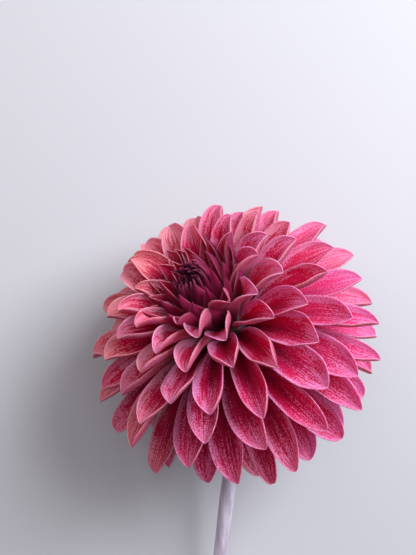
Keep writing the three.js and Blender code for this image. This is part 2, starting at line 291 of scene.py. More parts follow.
class DahliaBloom(bpy.types.PropertyGroup):
    """How large and how full the bloom is, and how it lies"""

    radius: length_of("Bloom radius", "From its middle to the widest petal tips", 0.0615, 0.01)
    place: FloatVectorProperty(
        name="Bloom place",
        description="Where the bloom's middle is",
        default=(-0.000695, 0.0755, 0.046),
        size=3, subtype="TRANSLATION", unit="LENGTH",
    )
    lean: angle_of("Lean", "Angle between the bloom's axis and the vertical", 47)
    heading: angle_of("Heading", "Which way the axis leans, from +X towards +Y", 124)
    petals: IntProperty(
        name="Open petals", description="How many have opened", default=150, min=WHORLS, max=400
    )
    florets: IntProperty(
        name="Folded florets", description="How many are folded over the centre", default=34, min=5
    )
    half_width: length_of("Petal half width", "Half a full-grown petal's width, flat", 0.0084)
    floret_half_width: length_of("Floret half width", "Half the widest floret's width", 0.003)
    blade: length_of("Petal thickness", "Thickness of a petal", 0.0003)
    lip: angle_of("Lip", "How much further up than its cup a petal's margins turn", 9)


class DahliaColours(bpy.types.PropertyGroup):
    """The flower's main colours"""

    face: colour_of("Face", "Velvety inner face of an open petal", (0.52, 0.0, 0.042))
    # Painted shade of the throat over the petals' own deeper colour towards the root; the
    # receptacle is painted in it too
    depth: colour_of("Depth", "Inner face towards the root", (0.045, 0.0, 0.006))
    salmon: colour_of("Warm margin", "Pale margin of the warmer petals", (0.88, 0.31, 0.35))
    lilac: colour_of("Cool margin", "Pale margin of the cooler petals", (0.87, 0.26, 0.54))
    back: colour_of("Back", "Back of an open petal", (0.46, 0.085, 0.16))
    young_back: colour_of("Young back", "Back of a petal yet to open", (0.25, 0.004, 0.060))
    centre: colour_of("Centre", "Florets folded over the centre", (0.095, 0.001, 0.025))
    calyx: colour_of("Calyx", "Bracts and cup under the petals", (0.20, 0.26, 0.075))
    stem: colour_of("Stem", "Skin of the stem", (0.74, 0.70, 0.86))
    stem_shade: colour_of("Stem flush", "Flush in patches over the stem", (0.48, 0.40, 0.55))


class DahliaStudio(bpy.types.PropertyGroup):
    """The floor, the light and the camera"""

    floor: colour_of("Floor", "Colour of the floor", (0.60, 0.63, 0.68))
    power: FloatProperty(
        name="Key light", description="Power of the main light", default=9.0, min=0.0, unit="POWER"
    )
    fill: FloatProperty(
        name="Fill", description="Strength of the light from all round", default=0.15, min=0, max=1
    )
    height: length_of("Camera height", "How high the camera is", 0.389, 0.1)


def chosen(context):
    """The scene's bloom and colours, as its user has set them."""
    return context.scene.dahlia_bloom, context.scene.dahlia_colours


def only(piece):
    """Selects this object alone and makes it the active one."""
    bpy.ops.object.select_all(action="DESELECT")
    piece.select_set(True)
    bpy.context.view_layer.objects.active = piece


def added(name):
    """The object that the last operator added, under its name."""
    piece = bpy.context.object
    piece.name = name
    piece.data.name = name
    return piece


@contextmanager
def editing(piece):
    """Edit mode on this object alone, with nothing of it selected."""
    only(piece)
    bpy.ops.object.mode_set(mode="EDIT")
    bpy.ops.mesh.select_all(action="DESELECT")
    yield
    bpy.ops.object.mode_set(mode="OBJECT")


def pick(piece, wanted):
    """Selects the vertices for which wanted(place) holds. It is called in edit mode."""
    bpy.ops.mesh.select_mode(type="VERT")
    bpy.ops.mesh.select_all(action="DESELECT")
    bpy.ops.object.mode_set(mode="OBJECT")
    for vertex in piece.data.vertices:
        vertex.select = bool(wanted(vertex.co))
    bpy.ops.object.mode_set(mode="EDIT")


def copied(piece, name):
    """A copy of the piece, with a mesh of its own."""
    copy = piece.copy()
    copy.data = piece.data.copy()
    copy.name = copy.data.name = name
    bpy.context.collection.objects.link(copy)
    return copy


def joined(pieces, name):
    """The pieces as one."""
    only(pieces[0])
    for piece in pieces:
        piece.select_set(True)
    bpy.ops.object.join()
    return added(name)


def applied(piece, kind, **settings):
    """Adds a modifier to the piece and applies it."""
    only(piece)
    modifier = piece.modifiers.new(kind.title(), kind)
    for setting, value in settings.items():
        setattr(modifier, setting, value)
    bpy.ops.object.modifier_apply(modifier=modifier.name)


def settled(piece):
    """Puts the object's place, turn and scale into its mesh."""
    only(piece)
    bpy.ops.object.transform_apply(location=True, rotation=True, scale=True)


def removed(piece):
    """Takes a piece out that was only a step on the way."""
    mesh = piece.data
    bpy.data.objects.remove(piece)
    bpy.data.meshes.remove(mesh)


def points_of(mesh):
    """The places of a mesh's vertices, one to a row."""
    points = np.empty(3 * len(mesh.vertices))
    mesh.vertices.foreach_get("co", points)
    return points.reshape(-1, 3)


def coated(piece, materials):
    """Gives a piece its material slots, in order."""
    for material in materials:
        piece.data.materials.append(material)


def finished(piece, node):
    """Smooths a piece's shading and gives it its place on the model."""
    only(piece)
    bpy.ops.object.shade_smooth()
    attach(piece, "root")
    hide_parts(node)


def bloom_matrix(bloom):
    """From the bloom's frame, whose axis is +Z, to the part's."""
    out, up = math.sin(bloom.lean), math.cos(bloom.lean)
    axis = Vector((out * math.cos(bloom.heading), out * math.sin(bloom.heading), up))
    turn = Vector((0, 0, 1)).rotation_difference(axis)
    return Matrix.Translation(Vector(bloom.place)) @ turn.to_matrix().to_4x4()


def turned_body(name, profile, sides, bloom):
    """A body of revolution about the bloom's axis: a disc that is extruded ring by ring."""
    radius, height = profile[0]
    bpy.ops.object.select_all(action="DESELECT")
    bpy.ops.mesh.primitive_circle_add(
        vertices=sides, radius=radius * MM, fill_type="NGON", location=(0, 0, height * MM)
    )
    piece = added(name)
    settled(piece)
    with editing(piece):
        bpy.ops.mesh.select_all(action="SELECT")
        for wide, high in profile[1:]:
            rise = (0, 0, (high - height) * MM)
            bpy.ops.mesh.extrude_region_move(TRANSFORM_OT_translate={"value": rise})
            factor = wide / radius
            bpy.ops.transform.resize(value=(factor, factor, 1), center_override=(0, 0, high * MM))
            radius, height = wide, high
        bpy.ops.mesh.select_all(action="SELECT")
        bpy.ops.mesh.normals_make_consistent(inside=False)
    applied(piece, "SUBSURF", levels=SMOOTHING, render_levels=SMOOTHING)
    piece.matrix_world = bloom_matrix(bloom)
    settled(piece)
    return piece


def petal_blank(name, rows, columns):
    """A flat petal: x runs along it, y across it, and all its last points are one at the tip."""
    bpy.ops.object.select_all(action="DESELECT")
    bpy.ops.mesh.primitive_grid_add(
        x_subdivisions=rows, y_subdivisions=columns, size=2, location=(0, 0, 0)
    )
    blank = added(name)
    uvs = blank.data.uv_layers[0]
    uvs.name = PETAL_UV
    with editing(blank):
        bpy.ops.mesh.select_all(action="SELECT")
        bpy.ops.transform.translate(value=(1, 0, 0))
        bpy.ops.transform.resize(value=((1 - BLANK_START) / 2, 1, 1), center_override=(0, 0, 0))
        bpy.ops.transform.translate(value=(BLANK_START, 0, 0))
        pick(blank, lambda place: place.x > 1 - TINY)
        bpy.ops.mesh.merge(type="CENTER")
    points = [vertex.co for vertex in blank.data.vertices]
    for point in points:
        point.x = 1 - (1 - point.x) ** BLANK_CROWDING
    for loop, corner in zip(blank.data.loops, blank.data.uv_layers[PETAL_UV].data):
        point = points[loop.vertex_index]
        corner.uv = (point.x, (point.y + 1) / 2)
    return blank


# A rule says where a petal goes and how it is bent, in millimetres and radians:
# azimuth, root, tip: the upright plane that it stands in, and its ends there, [out, high]
# rise, fall: its direction at the root and at the tip, from the bloom's axis
# half_width, widest, foot, point: half its width, where along it that is, what share of it is left
#     at the root, and how pointed the tip is
# cup_foot, cup_tip: how far each half turns up from midline to margin, at the root and further on
# lip, lip_bias: how much further the margins turn up, and how unlike the two are
# crease, keel: how sharply it is folded along its midline, and where along it that begins
# hood, wave, phase: how far the tip is lifted, and the margins' ripple
# roll, swing: how far it is turned round itself, and its tip round the bloom's axis
# tint: its warmth, shade and age, from 0 to 1, for its colours
# painted_side_light: painted light that makes it pale all over; below 0, painted shade that makes
# it dusky


def open_petal(k, bloom):
    """The rule of open petal k, counted from the centre."""
    own = unevenness(k, PETAL_UNEVEN)
    share = ((k + 0.5) / bloom.petals) ** PETAL_SPREAD_POWER
    tip_angle = PETAL_FIRST + (PETAL_LAST - PETAL_FIRST) * share * (1 + own("angle"))
    front = BUD_SHARE + (1 - BUD_SHARE) * (1 - math.cos(tip_angle))
    back = 1 - BACK_SHARE * (1 - math.sin(tip_angle))
    form = front if tip_angle < math.pi / 2 else back
    reach = bloom.radius / MM * form * (1 + own("reach"))
    root = mix(*PETAL_ROOTS, share)
    young = 1 - ease(tip_angle, *OPENING)
    reflexed = ease(tip_angle, *REFLEXING)
    spoon = ease(tip_angle, *SPOON_COMING) * (1 - ease(tip_angle, *SPOON_GOING))
    grown = mix(YOUNG_HALF_WIDTH, bloom.half_width / MM, ease(tip_angle, *WIDENING))
    grown = mix(grown, BACK_HALF_WIDTH, reflexed)
    open_fall = tip_angle + OUT_TURN + REFLEXED_TURN * reflexed + SPOON_BEND * spoon
    azimuth = PETAL_SPIRAL_START + GOLDEN_ANGLE * k + own("azimuth")
    warmth = 0.5 + own("warmth") + WARM_SWAY * math.cos(azimuth - WARM_SIDE)
    # Painted light on the outer petals of the lit side, painted shade on those opposite
    side_light = SIDE_LIGHT_EVERYWHERE + SIDE_LIGHT_SWAY * math.cos(azimuth - LIT_SIDE)
    return {
        "azimuth": azimuth,
        "root": (
            RECEPTACLE_RADIUS * math.sin(root),
            RECEPTACLE_LEVEL + RECEPTACLE_RISE * math.cos(root),
        ),
        "tip": (reach * math.sin(tip_angle), reach * math.cos(tip_angle)),
        "rise": root + mix(*PETAL_RISE, young) * (1 - reflexed),
        "fall": mix(open_fall, INCURVED, young),
        "half_width": grown * (1 + own("width")),
        "widest": mix(*PETAL_WIDEST, young),
        "foot": PETAL_FOOT,
        "point": max(young, PETAL_POINT + own("point")),
        "cup_foot": PETAL_CUP_FOOT,
        "cup_tip": mix(*PETAL_CUP_TIP, young) * (1 + own("cup")),
        "lip": bloom.lip * (1 + SPOON_LIP * spoon + own("lip")),
        "lip_bias": own("lip_bias"),
        "crease": radians(mix(*PETAL_CREASE, young)) * (1 + own("crease")),
        "keel": mix(*PETAL_KEEL, young),
        "hood": mix(*PETAL_HOOD, spoon) + own("hood"),
        "wave": PETAL_WAVE * (1 - young) * (1 + own("wave")),
        "phase": own("phase"),
        "roll": own("roll"),
        "swing": own("swing") + YOUNG_SWING * young,
        "tint": (float(np.clip(warmth, 0, 1)), own("shade") + 0.5, ease(tip_angle, *AGEING)),
        # painted light of the lit side, and painted shade opposite
        "painted_side_light": ease(tip_angle, *SIDE_LIGHTING) * side_light,
    }


def folded_floret(k, bloom):
    """The rule of folded floret k. The innermost bend over the centre."""
    own = unevenness(k, FLORET_UNEVEN)
    share = (k + 0.5) / bloom.florets
    tip_angle = FLORET_SPREAD * math.sqrt(share)
    reach = bloom.radius / MM * BUD_SHARE * mix(*FLORET_REACH, share) * (1 + own("reach"))
    root = FLORET_ROOTS * math.sqrt(share)
    full = bloom.floret_half_width / MM
    return {
        **FLORET_FORM,
        "azimuth": PETAL_SPIRAL_START - GOLDEN_ANGLE * (bloom.florets - k) + own("azimuth"),
        "root": (RECEPTACLE_RADIUS * math.sin(root), FLORET_LEVEL),
        "tip": (reach * math.sin(tip_angle), reach * math.cos(tip_angle)),
        "rise": mix(*FLORET_RISE, share),
        "fall": mix(*FLORET_FALL, share),
        "half_width": full * mix(*FLORET_WIDTH, share) * (1 + own("width")),
        "lip": FLORET_LIP * (1 + own("lip")),
        "lip_bias": own("lip_bias"),
        "roll": own("roll"),
        "swing": FLORET_SWING + own("swing"),
        "tint": (own("warmth") + 0.5, own("shade") + 0.5, FLORET_AGE * share),
    }


def bract(k, whorl):
    """The rule of bract k of a whorl round the calyx."""
    own = unevenness(k, BRACT_UNEVEN)
    return {
        **BRACT_FORM,
        "azimuth": whorl["phase"] + 2 * math.pi * k / whorl["count"] + own("azimuth"),
        "root": whorl["root"],
        "tip": whorl["tip"],
        "rise": whorl["rise"],
        "fall": whorl["fall"],
        "half_width": whorl["half_width"] * (1 + own("width")),
        "phase": BRACT_RIPPLE * k,
        "roll": own("roll"),
        "tint": (own("warmth") + 0.5, own("shade") + 0.5, 1.0),
    }


def midline(rule, t):
    """Places and directions along a petal's midline, [out, high]: one cubic from root to tip."""
    root, tip = np.array(rule["root"]), np.array(rule["tip"])
    rise, fall = rule["rise"], rule["fall"]
    chord = np.linalg.norm(tip - root)
    leaving = chord * CURVE_LEAVING * np.array([math.sin(rise), math.cos(rise)])
    arriving = chord * CURVE_ARRIVING * np.array([math.sin(fall), math.cos(fall)])
    places = (
        root * (2 * t**3 - 3 * t**2 + 1)
        + leaving * (t**3 - 2 * t**2 + t)
        + tip * (3 * t**2 - 2 * t**3)
        + arriving * (t**3 - t**2)
    )
    directions = (
        (tip - root) * (6 * t - 6 * t**2)
        + leaving * (3 * t**2 - 4 * t + 1)
        + arriving * (3 * t**2 - 2 * t)
    )
    return places, directions / np.linalg.norm(directions, axis=1)[:, None]


def section(rule, along, across):
    """How far aside and how far over the midline the points of a flat petal come to lie."""
    past = np.clip((along - rule["widest"]) / (1 - rule["widest"]), 0, 1)
    widening = mix(rule["foot"], 1, ease(along, 0, rule["widest"]))
    rounding = mix(*TIP_ROUNDING, rule["point"])
    closing = (1 - past**rounding) ** mix(*TIP_CLOSING, rule["point"])
    width = rule["half_width"] * widening * closing

    # The section is followed outwards from the midline, turning up as it goes.
    cup = mix(rule["cup_foot"], rule["cup_tip"], ease(along, *CUP_STRETCH))
    lip = rule["lip"] * ease(along, *LIP_STRETCH) * (1 + rule["lip_bias"] * np.sign(across))
    crease = rule["crease"] * ease(along, rule["keel"], CREASE_END)
    steps = np.abs(across)[:, None] * (np.arange(SECTION_STEPS) + 0.5) / SECTION_STEPS
    turn = crease[:, None] * np.tanh(steps / CREASE_WIDTH) + cup[:, None] * steps
    turn += lip[:, None] * steps**LIP_POWER
    aside = width * across * np.cos(turn).mean(axis=1)
    over = width * np.abs(across) * np.sin(turn).mean(axis=1)

    over += rule["hood"] * rule["half_width"] * past**HOOD_POWER
    ripple = np.sin(along * WAVE_TURNS + rule["phase"] + WAVE_SHIFT * np.sign(across))
    ripple = rule["wave"] * np.abs(across) ** WAVE_POWER * ripple * ease(along, *WAVE_STRETCH)
    over += ripple * (1 - past**WAVE_POWER)
    return aside, over


def bent(rule, along, across):
    """Where the points of a flat petal go, in millimetres in the bloom's frame."""
    places, directions = midline(rule, along[:, None])
    aside, over = section(rule, along, across)
    roll = rule["roll"] * along
    sideways = aside * np.cos(roll) - over * np.sin(roll)
    up = aside * np.sin(roll) + over * np.cos(roll)
    out = places[:, 0] - directions[:, 1] * up
    high = places[:, 1] + directions[:, 0] * up
    azimuth = rule["azimuth"] + rule["swing"] * along**2
    x = out * np.cos(azimuth) - sideways * np.sin(azimuth)
    y = out * np.sin(azimuth) + sideways * np.cos(azimuth)
    return np.stack([x, y, high], axis=1)


def laid(points, blade):
    """What hangs low lies flat on the surface, under the bloom's weight. Places are in metres."""
    height = (points[:, 2] - SURFACE) / MM
    flat = blade / MM / 2 + OVER_SURFACE
    points[:, 2] = SURFACE + MM * mix(flat, height, ease(height, PRESSED_FLAT, PRESSED_FREE))
    return points


def petal_group(blank, name, rules, bloom, blade, materials):
    """A copy of the blank for each rule, bent by it, all joined and given their thickness."""
    matrix = np.array(bloom_matrix(bloom))
    along, across, _ = points_of(blank.data).T
    petals = []
    for number, rule in enumerate(rules):
        petal = copied(blank, f"{name}_{number}")
        points = bent(rule, along, across) * MM
        points = laid(points @ matrix[:3, :3].T + matrix[:3, 3], blade)
        petal.data.vertices.foreach_set("co", points.ravel())
        tint = petal.data.attributes.new("tint", "FLOAT_VECTOR", "POINT")
        tint.data.foreach_set("vector", np.tile(rule["tint"], len(along)))
        # Painted light of the petal's side above 0, painted shade below 0
        painted_side_light = petal.data.attributes.new("painted_side_light", "FLOAT", "POINT")
        painted_side_light.data.foreach_set("value", np.full(len(along), rule["painted_side_light"]))
        petals.append(petal)
    group = joined(petals, name)
    coated(group, materials)
    applied(group, "SOLIDIFY", thickness=blade, offset=0, material_offset=1, material_offset_rim=0)
    return group


class Value:
    """A number, colour or vector that varies over a surface. Sums on numbers add Math nodes."""

    def __init__(self, finish, socket):
        self.finish = finish
        self.socket = socket

    def math(self, operation, first, second=0.0):
        return self.finish.node("ShaderNodeMath", {"operation": operation}, {0: first, 1: second})

    def __add__(self, other):
        return self.math("ADD", self, other)

    def __radd__(self, other):
        return self.math("ADD", other, self)

    def __sub__(self, other):
        return self.math("SUBTRACT", self, other)

    def __rsub__(self, other):
        return self.math("SUBTRACT", other, self)

    def __mul__(self, other):
        return self.math("MULTIPLY", self, other)

    def __rmul__(self, other):
        return self.math("MULTIPLY", other, self)

    def __abs__(self):
        return self.math("ABSOLUTE", self)

    def larger(self, other):
        return self.math("MAXIMUM", self, other)


def rgba(colour):
    """A colour as a socket takes it. One that varies stays as it is."""
    return colour if isinstance(colour, Value) else (*colour, 1.0)


class Finish:
    """A material on its way to being wired."""

    SHARE, FIRST, SECOND, MIXED = 0, 6, 7, 2  # a Mix node's sockets for colours
    RELIEF = 0.6

    def __init__(self, name):
        self.material = bpy.data.materials.new(name)
        self.material.use_nodes = True
        self.tree = self.material.node_tree
        self.tree.nodes.clear()

    def node(self, kind, settings=None, sockets=None, output=0):
        """Adds a node, with its settings first and then the value or link of each socket named."""
        node = self.tree.nodes.new(kind)
        for setting, value in (settings or {}).items():
            setattr(node, setting, value)
        for socket, value in (sockets or {}).items():
            if isinstance(value, Value):
                self.tree.links.new(value.socket, node.inputs[socket])
            else:
                node.inputs[socket].default_value = value
        return Value(self, node.outputs[output]) if node.outputs else None

    def attribute(self, name, output):
        return self.node("ShaderNodeAttribute", {"attribute_name": name}, output=output)

    def vector(self, x, y, z):
        return self.node("ShaderNodeCombineXYZ", sockets={"X": x, "Y": y, "Z": z})

    def parts(self, vector):
        """The three numbers of a vector."""
        first = self.node("ShaderNodeSeparateXYZ", sockets={"Vector": vector})
        return [Value(self, output) for output in first.socket.node.outputs]

    def noise(self, place, scale=1.0, detail=3.0, roughness=0.55):
        sockets = {"Vector": place, "Scale": scale, "Detail": detail, "Roughness": roughness}
        return self.node("ShaderNodeTexNoise", sockets=sockets)

    def step(self, value, low, high):
        """0 below low and 1 above high, with a soft edge between."""
        sockets = {"Value": value, "From Min": low, "From Max": high}
        return self.node("ShaderNodeMapRange", {"interpolation_type": "SMOOTHSTEP"}, sockets)

    def blend(self, share, first, second):
        """A colour between two."""
        sockets = {self.SHARE: share, self.FIRST: rgba(first), self.SECOND: rgba(second)}
        return self.node("ShaderNodeMix", {"data_type": "RGBA"}, sockets, self.MIXED)

    def relief(self, height, depth):
        """The normal of a surface with this height, from 0 to 1, over a depth in metres."""
        sockets = {"Strength": self.RELIEF, "Distance": depth, "Height": height}
        return self.node("ShaderNodeBump", sockets=sockets)

    def close(self, sockets):
        """Ends the material with the surface shader, whose sockets are these."""
        shader = self.node("ShaderNodeBsdfPrincipled", sockets=sockets)
        self.node("ShaderNodeOutputMaterial", sockets={"Surface": shader})
        return self.material


# Tones that are worked into the main colours. A pair is for the cooler petals and the warmer ones.
STREAK_TONE = (0.56, 0.004, 0.085)
SPECK_TONE = (0.74, 0.03, 0.17)
# The petal's darker midrib, with painted shade in the fold of its cup
MIDRIB_AND_SHADE_TONE = (0.10, 0.0, 0.012)
# Painted shade of the outer petals that face away from the light
SIDE_SHADE_TONE = (0.16, 0.0, 0.03)
YOUNG_TONE = (0.28, 0.003, 0.075)
# Painted light of the outer petals that face the light
SIDE_LIGHT_TONES = ((0.74, 0.05, 0.25), (0.82, 0.17, 0.22))
RIM_TONE = (0.90, 0.46, 0.58)
YOUNG_SHADE_TONE = (0.12, 0.004, 0.045)
VEIN_TONE = (0.36, 0.03, 0.11)
BACK_SPECK_TONE = (0.11, 0.002, 0.03)
FLORET_EDGE_TONE = (0.26, 0.05, 0.13)
PITH_TONE = (0.48, 0.52, 0.34)
PITH_FLUSH_TONE = (0.40, 0.42, 0.26)

# How crisply streaks and specks stand out: they go from none to full between these
FACE_CRISPNESS = (0.36, 0.64)
BACK_CRISPNESS = (0.38, 0.62)

CALYX_FLUSH = 0.75  # how dark the calyx's flush is, as a share of its colour
EVEN_GRAIN = (160.0, 160.0, 160.0)
STEM_GRAIN = (420.0, 16.0, 420.0)  # drawn out along the stem

PETAL_FLESH = {
    "Sheen Roughness": 0.4,
    "Subsurface Weight": 0.5,
    "Subsurface Radius": (1.0, 0.3, 0.35),
    "Subsurface Scale": 0.003,
}

Marks = namedtuple("Marks", "along side warmth shade age streak fleck")


def petal_marks(finish):
    """What a petal's colours are drawn from: places along it and to the side, tint and pattern.

    Its tint moves the streaks and the specks on each petal, so that no two are marked alike.
    """
    place = finish.node("ShaderNodeUVMap", {"uv_map": PETAL_UV})
    along, across, _ = finish.parts(place)
    warmth, shade, age = finish.parts(finish.attribute("tint", "Vector"))
    streaks = finish.vector(across * 26 + shade * 57, along * 2.6, warmth * 31)
    flecks = finish.vector(across * 42 + warmth * 19, along * 84 + warmth * 40, shade * 23)
    side = abs(across * 2 - 1)
    streak = finish.noise(streaks, roughness=0.6)
    fleck = finish.noise(flecks, detail=1.0, roughness=0.6)
    return Marks(along, side, warmth, shade, age, streak, fleck)


def pale_share(finish, marks, specks, lines, side_shade):
    """How pale a petal's face is from place to place: most at its margins and tip."""
    blotches = finish.vector(
        marks.side * 1.5 + marks.shade * 31, marks.along * 5, marks.warmth * 17
    )
    blotch = finish.noise(blotches, detail=1.0)
    uneven_side = marks.side + (lines - 0.5) * 0.14 + (blotch - 0.5) * 0.9
    margin = finish.step(uneven_side, 0.36, 0.9)
    tip = finish.step(marks.along + (lines - 0.5) * 0.2, 0.6, 1.0)
    pale = (margin * 0.85).larger(tip * 0.75) * (0.35 + marks.age * 0.75)
    # Painted shade on the side away from the light holds back the pale margins
    pale = pale * (1.0 - side_shade * 0.7) * (0.8 + marks.warmth * 0.35)
    marked = pale + (marks.shade - 0.5) * 0.2 + (specks - 0.5) * 0.6 + (lines - 0.5) * 0.2
    return finish.step(marked, 0.05, 0.95) * finish.step(pale, -0.25, 0.3)


def velvet(finish, colours, marks, specks, lines):
    """The deep colour of a petal's face, darkest at its root and along its midline: its own deeper
    colour there, with painted shade of the throat and of the cup's fold.
    """
    # Darker towards the root: the petal's own deeper colour, with painted shade of the throat
    tone = finish.blend(finish.step(marks.along, 0.1, 0.55), colours.depth, colours.face)
    tone = finish.blend(lines * 0.35, tone, STREAK_TONE)
    tone = finish.blend(specks * finish.step(marks.along, 0.1, 0.6) * 0.42, tone, SPECK_TONE)
    # Darker along the midline: the petal's own midrib, with painted shade in the cup's fold
    near_midline = 1.0 - finish.step(marks.side, 0.0, 0.45)
    far_from_tip = 1.0 - finish.step(marks.along, 0.45, 0.95)
    return finish.blend(near_midline * far_from_tip * 0.65, tone, MIDRIB_AND_SHADE_TONE)


def petal_face(colours):
    """The velvety inner face, which pales to salmon or lilac in streaks and specks. Painted shade
    darkens its root and fold; the outer petals get painted light on their lit side and painted
    shade opposite.
    """
    finish = Finish("petal_face")
    marks = petal_marks(finish)
    # Painted light of the outer petals on the lit side, and painted shade on those opposite
    painted_side_light = finish.attribute("painted_side_light", "Fac")
    side_shade = (painted_side_light * -1).larger(0.0)
    painted_side_light = painted_side_light.larger(0.0)
    specks = finish.step(marks.fleck, *FACE_CRISPNESS)
    lines = finish.step(marks.streak, *FACE_CRISPNESS)
    edge = finish.blend(marks.warmth, colours.lilac, colours.salmon)
    deep = velvet(finish, colours, marks, specks, lines)
    # Painted shade darkens the outer petals that face away from the light
    deep = finish.blend(side_shade, deep, SIDE_SHADE_TONE)
    deep = finish.blend(0.6 - marks.age * 0.9, deep, YOUNG_TONE)
    # Painted light pales the outer petals that face the light, towards their tips
    side_light = finish.blend(marks.warmth, *SIDE_LIGHT_TONES)
    side_light = finish.blend(finish.step(marks.fleck, 0.4, 0.7) * 0.6, side_light, edge)
    outward = finish.step(marks.along + (marks.streak - 0.5) * 0.5, 0.25, 0.75)
    deep = finish.blend(painted_side_light * outward * 0.8, deep, side_light)
    base = finish.blend(pale_share(finish, marks, specks, lines, side_shade), deep, edge)
    rim = finish.step(marks.side, 0.93, 1.0).larger(finish.step(marks.along, 0.97, 1.0))
    base = finish.blend(rim * (0.18 - marks.age * 0.06), base, RIM_TONE)
    return finish.close({
        **PETAL_FLESH,
        "Base Color": base,
        "Roughness": 0.56 + (marks.fleck - 0.5) * 0.2,
        "Normal": finish.relief(marks.streak + marks.fleck * 0.6, 0.00035),
        "Specular IOR Level": 0.05,
        "Sheen Weight": 0.03,
        "Sheen Tint": (0.95, 0.35, 0.5, 1),
    })


def petal_back(colours):
    """The plainer back, with darker veins and specks and a pale margin."""
    finish = Finish("petal_back")
    marks = petal_marks(finish)
    grown = finish.step(marks.age, 0.35, 1.0)
    base = finish.blend(grown, colours.young_back, colours.back)
    base = finish.blend((1.0 - grown) * marks.shade * 0.7, base, YOUNG_SHADE_TONE)
    veins = finish.step(marks.streak, *BACK_CRISPNESS)
    base = finish.blend(veins * 0.5, base, VEIN_TONE)
    specks = finish.step(marks.fleck, *BACK_CRISPNESS)
    base = finish.blend(specks * 0.4, base, BACK_SPECK_TONE)
    base = finish.blend(finish.step(marks.fleck, 0.4, 0.75) * grown * 0.5, base, colours.lilac)
    margin = finish.step(marks.side + (marks.fleck - 0.5) * 0.3, 0.8, 1.05)
    base = finish.blend(margin * (0.3 + grown * 0.35), base, colours.salmon)
    return finish.close({
        **PETAL_FLESH,
        "Base Color": base,
        "Roughness": 0.5 + (marks.fleck - 0.5) * 0.2,
        "Normal": finish.relief(marks.streak + marks.fleck * 0.4, 0.0004),
        "Specular IOR Level": 0.2,
        "Sheen Weight": 0.08,
        "Sheen Tint": (0.95, 0.4, 0.65, 1),
    })


def floret_skin(colours):
    """The dark satin of the folded florets, with paler edges."""
    finish = Finish("folded_floret")
    marks = petal_marks(finish)
    base = finish.blend(marks.shade, colours.centre, colours.young_back)
    tip = finish.step(marks.along + (marks.fleck - 0.5) * 0.2, 0.78, 1.0)
    margin = finish.step(marks.side, 0.75, 1.0)
    base = finish.blend((tip * 0.6).larger(margin * 0.5), base, FLORET_EDGE_TONE)
    return finish.close({
        "Base Color": base,
        "Roughness": 0.45 + (marks.fleck - 0.5) * 0.2,
        "Normal": finish.relief(marks.streak, 0.0003),
        "Specular IOR Level": 0.25,
        "Sheen Weight": 0.05,
    })


def fleshy_skin(name, tone, flush, grain=EVEN_GRAIN):
    """Fleshy skin with a mottled flush. The grain is finer where it is larger, axis by axis."""
    finish = Finish(name)
    place = finish.node("ShaderNodeTexCoord", output="Object")
    place = finish.node("ShaderNodeMapping", sockets={"Vector": place, "Scale": grain})
    fine = finish.noise(place, 5.0)
    broad = finish.noise(place, 0.7, 2.0)
    light = [min(1, part * 1.5) for part in tone]
    base = finish.blend(finish.step(broad, 0.35, 0.7), tone, flush)
    base = finish.blend(finish.step(fine, 0.4, 0.8) * 0.35, base, light)
    return finish.close({
        "Base Color": base,
        "Roughness": 0.42 + (fine - 0.5) * 0.2,
        "Normal": finish.relief(fine, 0.0002),
        "Specular IOR Level": 0.45,
        "Sheen Weight": 0.1,
    })


def lay_floor(studio):
    """A plain floor, a little below the flower."""
    bpy.ops.object.select_all(action="DESELECT")
    bpy.ops.mesh.primitive_plane_add(size=FLOOR_SIZE, location=(0, 0, SURFACE - FLOOR_DROP))
    piece = added("floor")
    settled(piece)
    sockets = {"Base Color": rgba(studio.floor), "Roughness": FLOOR_ROUGHNESS}
    coated(piece, [Finish("floor").close(sockets)])


def add_light(name, place, middle, power, tone):
    """A square soft light that faces the bloom's middle."""
    bpy.ops.object.light_add(type="AREA", location=place)
    light = added(name)
    light.data.size = LIGHT_SIZE
    light.data.energy = power
    light.data.color = tone
    light.rotation_euler = (middle - place).to_track_quat("-Z", "Y").to_euler()


def light_sky(scene, studio):
    """Even light from all round."""
    world = bpy.data.worlds.new("studio")
    world.use_nodes = True
    sockets = world.node_tree.nodes["Background"].inputs
    sockets["Color"].default_value = rgba(SKY_TONE)
    sockets["Strength"].default_value = studio.fill
    scene.world = world
    scene.view_settings.view_transform = "Standard"


def set_camera(scene, studio, middle):
    """The camera looks straight down, as in the photograph, on the bloom and some of its stem."""
    place = (middle.x + CAMERA_OFFSET[0], middle.y + CAMERA_OFFSET[1], studio.height)
    bpy.ops.object.camera_add(location=place, rotation=(0, 0, 0))
    camera = added("camera")
    camera.data.sensor_width = SENSOR_MM
    camera.data.lens = FOCAL_PIXELS / PHOTO_HEIGHT_PIXELS * SENSOR_MM
    camera.data.clip_start = CAMERA_NEAR
    scene.camera = camera


class DAHLIA_OT_stage(bpy.types.Operator):
    """Lays the floor and sets the soft light and the camera"""

    bl_idname = "dahlia.stage"
    bl_label = "Studio"

    def execute(self, context):
        studio = context.scene.dahlia_studio
        middle = Vector(context.scene.dahlia_bloom.place)
        lay_floor(studio)
        for name, (offset, share, tone) in LIGHTS.items():
            add_light(name, middle + Vector(offset), middle, studio.power * share, tone)
        light_sky(context.scene, studio)
        set_camera(context.scene, studio, middle)
        return {"FINISHED"}


class DAHLIA_OT_receptacle(bpy.types.Operator):
    """Models the body that the petals stand out of, painted dark as shade deep inside the bloom"""

    bl_idname = "dahlia.receptacle"
    bl_label = "Receptacle"

    def execute(self, context):
        bloom, colours = chosen(context)
        if bloom.radius * BUD_SHARE < RECEPTACLE_PROFILE[-1][1] * MM:
            raise RuntimeError("The bloom is too small to cover its receptacle")
        piece = turned_body("receptacle", RECEPTACLE_PROFILE, RECEPTACLE_SIDES, bloom)
        # The receptacle is painted dark as shade, where it shows deep inside the bloom
        coated(piece, [fleshy_skin("receptacle", colours.depth, colours.centre)])
        finished(piece, "open_petals")
        return {"FINISHED"}


